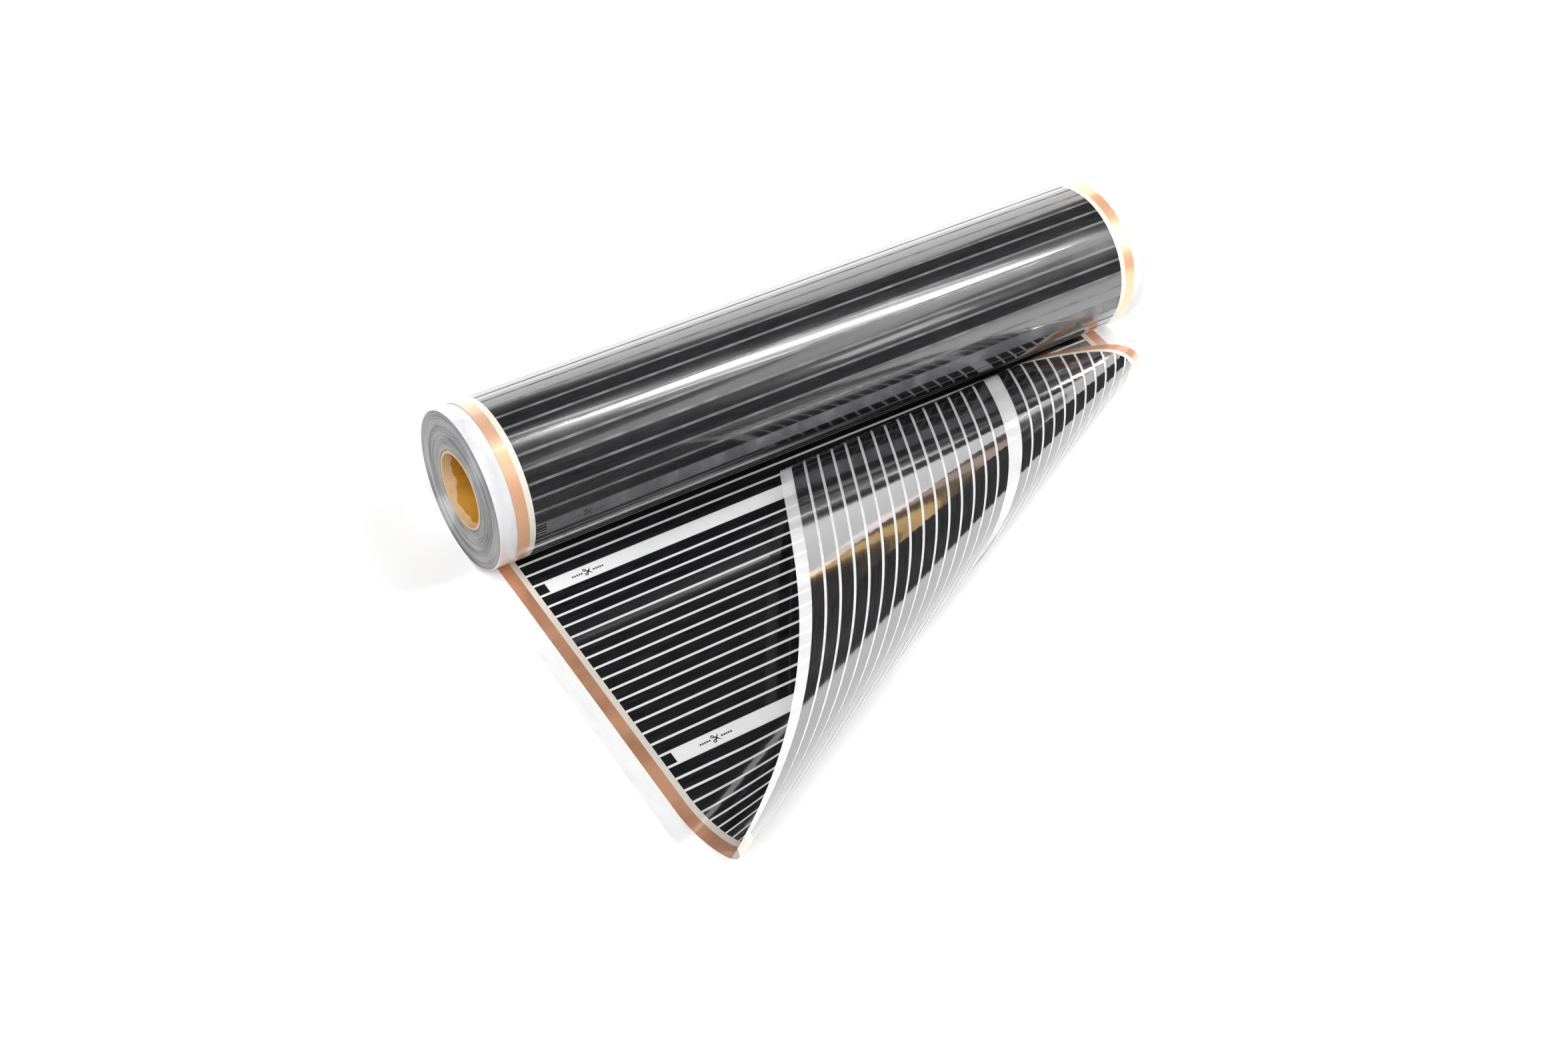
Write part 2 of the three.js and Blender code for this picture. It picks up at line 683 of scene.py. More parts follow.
def rgba(colour: Colour) -> tuple[float, float, float, float]:
    """A colour with full opacity."""
    return (*colour, 1.0)


class Effects:
    """Shader node groups that several finishes use.

    Attributes:
        long_waves: Broad ripples per metre, across the film and along it.
        fine_waves: Fine ripples per metre.
    """

    long_waves = (2.2, 26, 1)
    fine_waves = (9, 210, 1)

    def __init__(self) -> None:
        """Builds each group once."""
        self.ripples = self._ripples()
        self.mottling = self._mottling()

    def _group(
        self, name: str, inputs: dict[str, tuple[str, object]], outputs: dict[str, str]
    ) -> Nodes:
        """Starts a node group with its named sockets.

        Args:
            name: Name of the group.
            inputs: Type and first value of each input, by name.
            outputs: Type of each output, by name.

        Returns:
            The nodes of the group, still empty.
        """
        tree = bpy.data.node_groups.new(name, "ShaderNodeTree")
        for socket, (kind, value) in inputs.items():
            made = tree.interface.new_socket(socket, in_out="INPUT", socket_type=kind)
            if value is not None:
                made.default_value = value
        for socket, kind in outputs.items():
            tree.interface.new_socket(socket, in_out="OUTPUT", socket_type=kind)
        return Nodes(tree)

    def _ripples(self) -> bpy.types.NodeTree:
        """Fine ripples of a rolled film, stretched across it, as a normal.

        Returns:
            The node group.
        """
        nodes = self._group(
            "FilmRipples",
            {
                "Film": ("NodeSocketVector", None),
                "Height": ("NodeSocketFloat", 0.0002),
                "Fine": ("NodeSocketFloat", 0.3),
            },
            {"Normal": "NodeSocketVector"},
        )
        entry = nodes.add("NodeGroupInput")
        leave = nodes.add("NodeGroupOutput")
        long_waves = nodes.noise(nodes.stretched(entry.outputs["Film"], self.long_waves), roughness=0.45)
        fine_waves = nodes.noise(nodes.stretched(entry.outputs["Film"], self.fine_waves))
        fine_part = nodes.math("MULTIPLY", fine_waves, entry.outputs["Fine"])
        total = nodes.math("ADD", long_waves, fine_part)
        bump = nodes.add("ShaderNodeBump")
        nodes.feed(bump.inputs["Strength"], 1.0)
        nodes.feed(bump.inputs["Distance"], entry.outputs["Height"])
        nodes.feed(bump.inputs["Height"], total)
        nodes.feed(leave.inputs["Normal"], bump.outputs[0])
        return nodes.tree

    def _mottling(self) -> bpy.types.NodeTree:
        """Soft blotches, as a value that runs from its least to its most.

        Returns:
            The node group.
        """
        nodes = self._group(
            "Mottling",
            {
                "Coordinates": ("NodeSocketVector", None),
                "Stretch": ("NodeSocketVector", (1, 1, 1)),
                "Detail": ("NodeSocketFloat", 3.0),
                "Roughness": ("NodeSocketFloat", 0.6),
                "Low": ("NodeSocketFloat", 0.4),
                "High": ("NodeSocketFloat", 0.7),
                "Least": ("NodeSocketFloat", 0.0),
                "Most": ("NodeSocketFloat", 1.0),
            },
            {"Mask": "NodeSocketFloat"},
        )
        entry = nodes.add("NodeGroupInput").outputs
        leave = nodes.add("NodeGroupOutput")
        stretched = nodes.stretched(entry["Coordinates"], entry["Stretch"])
        pattern = nodes.noise(stretched, detail=entry["Detail"], roughness=entry["Roughness"])
        mask = nodes.ramp(pattern, entry["Low"], entry["High"], entry["Least"], entry["Most"])
        nodes.feed(leave.inputs["Mask"], mask)
        return nodes.tree


@dataclass(frozen=True)
class Mottle:
    """One use of the blotches: how large they are, and where they start and stop showing.

    Attributes:
        stretch: Blotches per metre along each axis of the coordinates.
        detail: Finer layers in the pattern.
        roughness: Strength of the finer layers.
        low: Value of the pattern up to which it is at its least.
        high: Value from which it is at its most.
    """

    stretch: tuple[float, float, float]
    detail: float = 3
    roughness: float = 0.6
    low: float = 0.4
    high: float = 0.7

    def place(
        self, nodes: Nodes, effects: Effects, coordinates: object, least: float = 0, most: float = 1
    ) -> bpy.types.NodeSocket:
        """Places the blotches in a material.

        Args:
            nodes: The material's nodes.
            effects: The shared node groups.
            coordinates: Coordinates of the surface.
            least: Value between the blotches.
            most: Value in the blotches.

        Returns:
            The socket of the value.
        """
        group = nodes.add("ShaderNodeGroup", node_tree=effects.mottling)
        values = {
            "Coordinates": coordinates,
            "Stretch": self.stretch,
            "Detail": self.detail,
            "Roughness": self.roughness,
            "Low": self.low,
            "High": self.high,
            "Least": least,
            "Most": most,
        }
        for name, value in values.items():
            nodes.feed(group.inputs[name], value)
        return group.outputs["Mask"]


# Blotches of handling, thin ink, dull foil, printed paste and scuffed film
SMUDGES = Mottle((14, 14, 14), detail=4, roughness=0.5, low=0.42, high=0.72)
CARBON_GRAIN = Mottle((30, 700, 1), low=0.35, high=0.75)
COPPER_PATCHES = Mottle((6, 16, 1), roughness=0.55, low=0.38, high=0.66)
PRINT_MOTTLE = Mottle((600, 600, 600), high=0.8)
FILM_SCUFFS = Mottle((40, 12, 1), detail=4)


@dataclass(frozen=True)
class Finish:
    """A procedural finish: what every material here starts from.

    Attributes:
        name: Name of the material.
        colour: Base colour.
        roughness: Roughness of the plain surface.
        metallic: 1 for bare metal.
        ior: Index of refraction.
        coat: Weight of a clear glossy layer over it.
        coat_roughness: Roughness of that layer.
        ripple: Height of the film's ripples.
        fine: Share of the finest ripples.
        smudge: How much smudges roughen it.
    """

    name: str
    colour: Colour
    roughness: float = 0.2
    metallic: float = 0.0
    ior: float = 1.5
    coat: float = 0.0
    coat_roughness: float = 0.03
    ripple: float = 0.0
    fine: float = 0.3
    smudge: float = 0.1

    def start(self, effects: Effects) -> tuple[bpy.types.Material, Nodes, bpy.types.Node, bpy.types.Node]:
        """Builds the shader with its ripples and smudges.

        Args:
            effects: The shared node groups.

        Returns:
            The material, its nodes, the shader and the texture coordinates.
        """
        material = bpy.data.materials.new(self.name)
        material.use_nodes = True
        nodes = Nodes(material.node_tree)
        shader = material.node_tree.nodes["Principled BSDF"]
        place = nodes.add("ShaderNodeTexCoord")
        shader.inputs["Base Color"].default_value = rgba(self.colour)
        shader.inputs["Metallic"].default_value = self.metallic
        shader.inputs["IOR"].default_value = self.ior
        shader.inputs["Coat Weight"].default_value = self.coat
        shader.inputs["Coat Roughness"].default_value = self.coat_roughness
        smudged = self.roughness + self.smudge
        roughness = SMUDGES.place(nodes, effects, place.outputs["Object"], self.roughness, smudged)
        nodes.feed(shader.inputs["Roughness"], roughness)
        if self.ripple > 0:
            ripples = nodes.add("ShaderNodeGroup", node_tree=effects.ripples)
            nodes.feed(ripples.inputs["Film"], place.outputs["UV"])
            nodes.feed(ripples.inputs["Height"], self.ripple)
            nodes.feed(ripples.inputs["Fine"], self.fine)
            nodes.feed(shader.inputs["Normal"], ripples.outputs["Normal"])
        return material, nodes, shader, place


@dataclass(frozen=True)
class CarbonFinish(Finish):
    """Printed carbon under glossy film: near black, with a faint grain where the ink is thinner.

    Attributes:
        thin_colour: Colour where the ink is thinner.
    """

    thin_colour: Colour = (0.02, 0.02, 0.022)

    def build(self, effects: Effects) -> bpy.types.Material:
        """Builds the material.

        Args:
            effects: The shared node groups.

        Returns:
            The material.
        """
        material, nodes, shader, place = self.start(effects)
        share = CARBON_GRAIN.place(nodes, effects, place.outputs["UV"])
        colour = nodes.blend(share, rgba(self.colour), rgba(self.thin_colour))
        nodes.feed(shader.inputs["Base Color"], colour)
        return material


@dataclass(frozen=True)
class CopperFinish(Finish):
    """Copper foil under film, a little darker and duller in places.

    Attributes:
        dull_colour: Colour of the duller places.
    """

    dull_colour: Colour = (0.62, 0.3, 0.17)

    def build(self, effects: Effects) -> bpy.types.Material:
        """Builds the material.

        Args:
            effects: The shared node groups.

        Returns:
            The material.
        """
        material, nodes, shader, place = self.start(effects)
        share = COPPER_PATCHES.place(nodes, effects, place.outputs["UV"])
        colour = nodes.blend(share, rgba(self.colour), rgba(self.dull_colour))
        nodes.feed(shader.inputs["Base Color"], colour)
        return material


@dataclass(frozen=True)
class PrintedFinish(Finish):
    """An opaque printed strip, with the faint mottling of screen-printed paste.

    Attributes:
        second_colour: Colour of the mottling.
        second_share: How far the mottling goes towards it.
    """

    second_colour: Colour = (0.7, 0.66, 0.6)
    second_share: float = 0.6

    def build(self, effects: Effects) -> bpy.types.Material:
        """Builds the material.

        Args:
            effects: The shared node groups.

        Returns:
            The material.
        """
        material, nodes, shader, place = self.start(effects)
        share = PRINT_MOTTLE.place(nodes, effects, place.outputs["UV"], most=self.second_share)
        colour = nodes.blend(share, rgba(self.colour), rgba(self.second_colour))
        nodes.feed(shader.inputs["Base Color"], colour)
        return material


@dataclass(frozen=True)
class ClearFinish(Finish):
    """Clear laminated film. It lets light through and is a little milky where it is scuffed.

    Attributes:
        opacity: Opacity of the plain film.
        scuffed_opacity: Opacity where it is scuffed.
    """

    opacity: float = 0.2
    scuffed_opacity: float = 0.35

    def build(self, effects: Effects) -> bpy.types.Material:
        """Builds the material.

        Args:
            effects: The shared node groups.

        Returns:
            The material.
        """
        material, nodes, shader, place = self.start(effects)
        coordinates = place.outputs["UV"]
        opacity = FILM_SCUFFS.place(nodes, effects, coordinates, self.opacity, self.scuffed_opacity)
        nodes.feed(shader.inputs["Alpha"], opacity)
        return material


@dataclass(frozen=True)
class TurnEndFinish(Finish):
    """Edges of the wound turns: grey, translucent, with rings and soft radial glints, which are painted
    highlights in the colour.

    Attributes:
        dark_colour: Colour between the lighter turns.
        axis_height: Height of the roll's axis above the floor.
        turn_pitch: From one pair of turns to the next.
        ring_scale: How fine the rings are.
        ring_share: Weight of the rings.
        glint_stretch: How fine the painted glints are, outwards and round the axis.
        glint_share: Weight of the painted glints.
        around: How fast the rings change round the axis.
        low: Value of both together up to which the dark colour shows.
        high: Value from which the light colour shows.
    """

    dark_colour: Colour = (0.3, 0.3, 0.31)
    axis_height: float = 83.08 * MM
    turn_pitch: float = 0.676 * MM
    ring_scale: float = 0.35
    ring_share: float = 0.6
    glint_stretch: tuple[float, float, float] = (0.08, 2.2, 1)
    glint_share: float = 0.5
    around: float = 0.4
    low: float = 0.35
    high: float = 0.75

    def build(self, effects: Effects) -> bpy.types.Material:
        """Builds the material.

        Args:
            effects: The shared node groups.

        Returns:
            The material.
        """
        material, nodes, shader, place = self.start(effects)
        centred = nodes.add("ShaderNodeMapping")
        nodes.feed(centred.inputs["Vector"], place.outputs["Object"])
        nodes.feed(centred.inputs["Location"], (0, 0, -self.axis_height))
        parts = nodes.add("ShaderNodeSeparateXYZ")
        nodes.feed(parts.inputs[0], centred.outputs[0])
        squares = [nodes.math("MULTIPLY", parts.outputs[i], parts.outputs[i]) for i in (1, 2)]
        distance = nodes.math("SQRT", nodes.math("ADD", *squares))
        angle = nodes.math("ARCTAN2", nodes.math("ABSOLUTE", parts.outputs[1]), parts.outputs[2])
        polar = nodes.add("ShaderNodeCombineXYZ")
        nodes.feed(polar.inputs[0], nodes.math("MULTIPLY", distance, 1 / self.turn_pitch))
        nodes.feed(polar.inputs[1], nodes.math("MULTIPLY", angle, self.around))
        rings = nodes.noise(polar.outputs[0], self.ring_scale, detail=3, roughness=0.7)
        # Painted highlights: radial glints mixed into the base colour
        glints = nodes.noise(nodes.stretched(polar.outputs[0], self.glint_stretch))
        total = nodes.math(
            "ADD",
            nodes.math("MULTIPLY", rings, self.ring_share),
            nodes.math("MULTIPLY", glints, self.glint_share),
        )
        share = nodes.ramp(total, self.low, self.high)
        colour = nodes.blend(share, rgba(self.dark_colour), rgba(self.colour))
        nodes.feed(shader.inputs["Base Color"], colour)
        return material


@dataclass(frozen=True)
class CardboardFinish(Finish):
    """Wound cardboard, with fine fibres and faint stains.

    Attributes:
        fibre_colour: Colour of the fibres and stains.
        fibres: Fibres per metre, along the core and across it.
        stains: Stains per metre.
        low: Value of both together up to which the plain colour shows.
        high: Value from which the second colour shows.
        relief: Height of the fibres.
    """

    fibre_colour: Colour = (0.5, 0.33, 0.17)
    fibres: tuple[float, float, float] = (300, 1100, 1100)
    stains: float = 45
    low: float = 0.38
    high: float = 0.66
    relief: float = 0.1 * MM

    def build(self, effects: Effects) -> bpy.types.Material:
        """Builds the material.

        Args:
            effects: The shared node groups.

        Returns:
            The material.
        """
        material, nodes, shader, place = self.start(effects)
        stretched = nodes.stretched(place.outputs["Object"], self.fibres)
        fibres = nodes.noise(stretched, detail=3, roughness=0.6)
        stains = nodes.noise(place.outputs["Object"], self.stains, detail=3)
        total = nodes.math("ADD", nodes.math("MULTIPLY", fibres, 0.5), nodes.math("MULTIPLY", stains, 0.5))
        share = nodes.ramp(total, self.low, self.high)
        colour = nodes.blend(share, rgba(self.colour), rgba(self.fibre_colour))
        nodes.feed(shader.inputs["Base Color"], colour)
        bump = nodes.add("ShaderNodeBump")
        nodes.feed(bump.inputs["Distance"], self.relief)
        nodes.feed(bump.inputs["Height"], fibres)
        nodes.feed(shader.inputs["Normal"], bump.outputs[0])
        return material


class Finishes:
    """All materials of the part, each built once.

    The film lies in other light on the roll than on the floor, so it has finishes of its own there.
    """

    def __init__(self) -> None:
        """Builds the materials."""
        effects = Effects()
        black = (0.003, 0.003, 0.0035)
        self.carbon_front = CarbonFinish(
            "carbon_front",
            black,
            roughness=0.1,
            coat=1.0,
            coat_roughness=0.03,
            ripple=0.08 * MM,
            smudge=0.05,
        ).build(effects)
        self.carbon_back = CarbonFinish(
            "carbon_back",
            black,
            roughness=0.08,
            ior=2.6,
            coat=1.0,
            coat_roughness=0.02,
            ripple=0.08 * MM,
            smudge=0.04,
        ).build(effects)
        self.carbon_roll = CarbonFinish(
            "carbon_roll",
            black,
            roughness=0.17,
            ior=2.1,
            coat=1.0,
            coat_roughness=0.015,
            ripple=0.06 * MM,
            smudge=0.04,
        ).build(effects)
        self.copper = CopperFinish(
            "copper_foil",
            (0.86, 0.45, 0.27),
            roughness=0.26,
            metallic=0.55,
            coat=1.0,
            ripple=0.4 * MM,
        ).build(effects)
        self.copper_roll = CopperFinish(
            "copper_foil_roll",
            (0.9, 0.5, 0.29),
            roughness=0.3,
            metallic=0.5,
            coat=1.0,
            coat_roughness=0.1,
            ripple=0.4 * MM,
            dull_colour=(0.8, 0.52, 0.36),
        ).build(effects)
        self.silver = PrintedFinish(
            "silver_contact",
            (0.62, 0.59, 0.52),
            roughness=0.4,
            coat=1.0,
            ripple=0.2 * MM,
            second_colour=(0.54, 0.51, 0.45),
        ).build(effects)
        # The clear film's two faces are lit and shaded copies: the front is painted whiter and more opaque as
        # painted light, the back greyer and clearer as painted shade
        self.clear_front = ClearFinish(
            "clear_film_front",
            (0.94, 0.94, 0.95),
            roughness=0.1,
            coat=1.0,
            ripple=0.15 * MM,
            smudge=0.05,
            opacity=0.55,
            scuffed_opacity=0.62,
        ).build(effects)
        self.clear_back = ClearFinish(
            "clear_film_back",
            (0.8, 0.8, 0.81),
            roughness=0.1,
            coat=1.0,
            ripple=0.15 * MM,
            smudge=0.05,
            opacity=0.2,
            scuffed_opacity=0.3,
        ).build(effects)
        self.clear_margin = ClearFinish(
            "clear_film_margin",
            (0.78, 0.78, 0.79),
            roughness=0.08,
            coat=1.0,
            ripple=0.15 * MM,
            smudge=0.05,
            opacity=0.1,
            scuffed_opacity=0.16,
        ).build(effects)
        # A darker grey copy of the clear film for the roll: painted shade
        self.clear_roll = ClearFinish(
            "clear_film_roll",
            (0.55, 0.55, 0.57),
            roughness=0.12,
            coat=1.0,
            ripple=0.1 * MM,
            smudge=0.05,
            opacity=0.1,
            scuffed_opacity=0.2,
        ).build(effects)
        self.stack_clear = PrintedFinish(
            "wound_margin",
            (0.76, 0.76, 0.77),
            roughness=0.3,
            coat=1.0,
            coat_roughness=0.1,
            ripple=0.6 * MM,
            second_colour=(0.6, 0.6, 0.61),
        ).build(effects)
        self.stack_carbon = CarbonFinish(
            "wound_carbon",
            (0.004, 0.004, 0.0045),
            roughness=0.3,
            thin_colour=(0.02, 0.02, 0.021),
        ).build(effects)
        self.turn_ends = TurnEndFinish(
            "turn_ends",
            (0.36, 0.36, 0.37),
            roughness=0.3,
            coat=0.6,
            smudge=0.1,
            dark_colour=(0.06, 0.06, 0.065),
        ).build(effects)
        self.cardboard = CardboardFinish(
            "core_cardboard",
            (0.62, 0.42, 0.24),
            roughness=0.8,
        ).build(effects)
        self.lining = CardboardFinish(
            "core_lining",
            (0.5, 0.25, 0.02),
            roughness=0.65,
            fibre_colour=(0.38, 0.16, 0.01),
        ).build(effects)


@dataclass
class FilmLayers:
    """The film's own layers on one stretch of its length, each as a piece of its own.

    Attributes:
        prefix: Start of the pieces' names.
        path: Path of the film.
        pattern: Pattern on the film.
        finishes: Materials.
        along: The stretch of film.
        clear_inset: How far the clear body lies inside the carbon stripes, on each face.
        rows: Faces along each stripe.
        wound: Whether this stretch is on the roll, where darker turns lie below it and where it takes the
            roll's copies of the finishes, made for the light there, with painted shade in the clear film.
    """

    prefix: str
    path: FilmPath
    pattern: FilmPattern
    finishes: Finishes
    along: Span
    clear_inset: float = 0.02 * MM
    rows: int = 4
    wound: bool = False

    def build(self) -> list[bpy.types.Object]:
        """Builds and dresses all layers.

        Returns:
            The pieces, with the clear body first.
        """
        return [
            self.clear_body(),
            self.clear_margins(),
            self.carbon_stripes(),
            self.copper_busbars(),
            self.silver_contacts(),
            self.marks(),
        ]

    def _slab(self, inset: float = 0.0) -> Slab:
        """Starts a slab of the film's thickness, less an inset on each face."""
        return Slab(inset, self.path.thickness - inset)

    def row_spans(self) -> list[Span]:
        """Splits the stretch at every stripe's two sides, so that all layers share their mesh lines.

        Returns:
            The spans, in order along the film.
        """
        spans = []
        reached = self.along.start
        for number in self.pattern.numbers(self.along.start, self.along.end):
            stripe = self.pattern.stripe_span(number, self.rows)
            if stripe.start > reached:
                spans.append(self._gap(reached, stripe.start))
            spans.append(stripe)
            reached = stripe.end
        if self.along.end > reached:
            spans.append(self._gap(reached, self.along.end))
        return spans

    def _gap(self, start: float, end: float) -> Span:
        """A stretch between two stripes, with faces about as long as theirs."""
        face = self.pattern.stripe / self.rows
        return Span(start, end, max(1, round((end - start) / face)))

    def clear_body(self) -> bpy.types.Object:
        """The clear film that carries everything, between the two margins.

        Returns:
            The piece.
        """
        slab = self._slab(self.clear_inset)
        for row in self.row_spans():
            for column in self.pattern.columns()[1:-1]:
                slab.rectangle(column, row)
        piece = slab.finish(f"{self.prefix}_clear_film", self.path)
        if self.wound:
            return dress(piece, Slot.FILM, self.finishes.clear_roll, self.finishes.clear_roll)
        return dress(piece, Slot.FILM, self.finishes.clear_back, self.finishes.clear_front)

    def clear_margins(self) -> bpy.types.Object:
        """The clear margins along both edges.

        Returns:
            The piece.
        """
        slab = self._slab(self.clear_inset)
        for row in self.row_spans():
            for column in (self.pattern.columns()[0], self.pattern.columns()[-1]):
                slab.rectangle(column, row)
        piece = slab.finish(f"{self.prefix}_clear_margins", self.path)
        clear = self.finishes.clear_roll if self.wound else self.finishes.clear_margin
        return dress(piece, Slot.FILM, clear, clear)

    def carbon_stripes(self) -> bpy.types.Object:
        """The carbon stripes, apart from those left out for the marks.

        Returns:
            The piece.
        """
        slab = self._slab()
        for number in self.pattern.numbers(self.along.start, self.along.end):
            if not self.pattern.is_label(number):
                slab.rectangle(self.pattern.carbon(), self.pattern.stripe_span(number, self.rows))
        piece = slab.finish(f"{self.prefix}_carbon_stripes", self.path)
        back = self.finishes.carbon_roll if self.wound else self.finishes.carbon_back
        return dress(piece, Slot.FILM, back, self.finishes.carbon_front)

    def copper_busbars(self) -> bpy.types.Object:
        """The two copper busbars.

        Returns:
            The piece.
        """
        slab = self._slab(self.clear_inset / 2)
        for row in self.row_spans():
            for column in self.pattern.busbars():
                slab.rectangle(column, row)
        piece = slab.finish(f"{self.prefix}_copper_busbars", self.path)
        copper = self.finishes.copper_roll if self.wound else self.finishes.copper
        return dress(piece, Slot.FILM, copper, copper)

    def silver_contacts(self) -> bpy.types.Object:
        """The two silver strips that join the stripes to the busbars.

        Returns:
            The piece.
        """
        slab = self._slab(self.clear_inset / 4)
        for row in self.row_spans():
            for column in self.pattern.contacts():
                slab.rectangle(column, row)
        piece = slab.finish(f"{self.prefix}_silver_contacts", self.path)
        return dress(piece, Slot.FILM, self.finishes.silver, self.finishes.silver)

    def marks(self) -> bpy.types.Object:
        """The square and the dotted cutting line with its scissors, wherever a stripe is left out.

        Returns:
            The piece.
        """
        slab = self._slab(self.clear_inset / 3)
        for number in self.pattern.numbers(self.along.start, self.along.end):
            if self.pattern.is_label(number):
                band = self.pattern.stripe_span(number, self.rows)
                CutMark(self.pattern.field_start, band).draw(slab)
        piece = slab.finish(f"{self.prefix}_cut_marks", self.path)
        return dress(piece, Slot.FILM, self.finishes.carbon_back, self.finishes.carbon_front)


@dataclass(frozen=True)
class CutMark:
    """One place where the film may be cut: a square, and a dotted line broken by a pair of scissors.

    Attributes:
        start: Where the place begins, across the film.
        band: The place's stretch along the film.
        square: Side of the square.
        line_start: From the start to the first dot.
        dots: Dots on each side of the scissors.
        dot_pitch: From one dot to the next.
        dot_radius: Radius of a dot.
        scissors: Length of the scissors.
        handle_share: Radius of a finger ring, as a share of that length.
        ring_bore: Bore of a finger ring. This and the sizes below are in radii of a finger ring.
        ring_offset: From the scissors' middle line to the middle of a finger ring.
        grip_reach: From the scissors' near end to where the blades begin.
        tip_offset: From the scissors' middle line to the tip of a blade.
        blade_width: Width of a blade at its wide end.
    """

    start: float
    band: Span
    square: float = 11.5 * MM
    line_start: float = 40 * MM
    dots: int = 5
    dot_pitch: float = 2.5 * MM
    dot_radius: float = 1.05 * MM
    scissors: float = 11 * MM
    handle_share: float = 0.17
    ring_bore: float = 0.45
    ring_offset: float = 1.5
    grip_reach: float = 1.7
    tip_offset: float = 2.0
    blade_width: float = 0.7

    def draw(self, slab: Slab) -> None:
        """Adds the marks to a slab.

        Args:
            slab: The slab.
        """
        slab.rectangle(Span(self.start, self.start + self.square, 3), self.band)
        first = self.start + self.line_start
        run = self.dots * self.dot_pitch
        for number in range(self.dots):
            along_line = first + number * self.dot_pitch
            slab.disc(along_line, self.band.middle, self.dot_radius)
            slab.disc(along_line + run + self.scissors, self.band.middle, self.dot_radius)
        self._draw_scissors(slab, first + run)

    def _draw_scissors(self, slab: Slab, left: float) -> None:
        """Adds the scissors, with their blades crossed.

        Args:
            slab: The slab.
            left: Where the scissors begin, across the film.
        """
        middle = self.band.middle
        handle = self.scissors * self.handle_share
        right = left + self.scissors - self.dot_pitch
        for side in (-1, 1):
            ring_along = middle + side * handle * self.ring_offset
            slab.ring(left + handle, ring_along, handle, handle * self.ring_bore)
            grip = Vector((left + handle * self.grip_reach, middle + side * handle, 0))
            tip = Vector((right, middle - side * handle * self.tip_offset, 0))
            slab.blade(grip, tip, handle * self.blade_width)


@dataclass
class WoundStack:
    """The turns below the outermost one, as one body with the edges of its turns showing on both ends.

    Attributes:
        path: Path of the film.
        pattern: Pattern on the film.
        finishes: Materials.
        clearance: Gap below the outermost turn.
        turns: Ridges on each end.
        sides: Steps round the roll.
        stagger: How far the turns' edges stand apart, at most.
        end_stagger: Depth of the first and last turn, as a share of the stagger.
        groove_share: Depth of the groove beside each turn, as a share of the stagger.
        groove_at: Where a turn's groove lies. This and the next two are shares of a turn's pitch.
        edge_from: Where its edge begins.
        edge_to: Where its edge ends.
        rim: Chamfer between the outermost of these turns and the ends.
        rim_depth: How far below that turn's face the ends' material begins.
        seed: Seed of the stagger.
    """

    path: FilmPath
    pattern: FilmPattern
    finishes: Finishes
    clearance: float = 0.03 * MM
    turns: int = 61
    sides: int = 128
    stagger: float = 0.55 * MM
    end_stagger: float = 0.1
    groove_share: float = 0.6
    groove_at: float = 0.04
    edge_from: float = 0.3
    edge_to: float = 0.85
    rim: float = 1 * MM
    rim_depth: float = 0.5 * MM
    seed: int = 7

    @property
    def outer(self) -> float:
        """Radius of the stack."""
        return self.path.radius - 2 * self.path.thickness - self.clearance

    def build(self) -> bpy.types.Object:
        """Builds and dresses the stack.

        Returns:
            The piece.
        """
        mesh = spun(self._outline(), self.path.radius, self.sides)
        film_map = mesh.loops.layers.uv.new(FILM_MAP)
        for face in mesh.faces:
            face.material_index = self._zone(face.calc_center_median()).value
            for loop in face.loops:
                place = loop.vert.co
                angle = math.atan2(abs(place.y), self.path.radius - place.z)
                loop[film_map].uv = (place.x + self.path.width / 2, -angle * self.path.radius)
        piece = finished_object("roll_wound_turns", mesh, SHARP_ANGLE_OF_TURNS)
        return dress(
            piece,
            Slot.FILM,
            self.finishes.turn_ends,
            self.finishes.stack_clear,
            self.finishes.copper_roll,
            self.finishes.silver,
            self.finishes.stack_carbon,
        )

    def _outline(self) -> list[tuple[float, float]]:
        """Works out the stack's outline, with its ends stepped turn by turn.

        Returns:
            The outline's points as (place along the roll, distance from its axis).
        """
        draw = random.Random(self.seed)
        half = self.path.width / 2
        pitch = (self.outer - self.path.bore_radius) / self.turns
        left, right = [], []
        for side, points in ((-1, left), (1, right)):
            for turn in range(self.turns):
                inside = 0 < turn < self.turns - 1
                depth = self.stagger * (draw.random() if inside else self.end_stagger)
                base = self.path.bore_radius + turn * pitch
                edge = side * (half - depth)
                groove = side * (half - depth - self.stagger * self.groove_share)
                points += [
                    (groove, base + self.groove_at * pitch),
                    (edge, base + self.edge_from * pitch),
                    (edge, base + self.edge_to * pitch),
                ]
        zones = [column.end - half for column in self.pattern.columns()[:-1]]
        face = [(place, self.outer) for place in (-half + self.rim, *zones, half - self.rim)]
        return left + face + right[::-1]

    def _zone(self, centre: Vector) -> Zone:
        """Finds what shows at a face's centre.

        Args:
            centre: The face's centre.

        Returns:
            The zone that the face lies in.
        """
        distance = math.hypot(centre.y, centre.z - self.path.radius)
        if distance < self.outer - self.rim_depth:
            return Zone.TURN_ENDS
        across = centre.x + self.path.width / 2
        from_edge = min(across, self.path.width - across)
        if from_edge <= self.pattern.margin:
            return Zone.MARGIN
        if from_edge <= self.pattern.margin + self.pattern.busbar:
            return Zone.BUSBAR
        if from_edge <= self.pattern.field_start:
            return Zone.CONTACT
        return Zone.CARBON


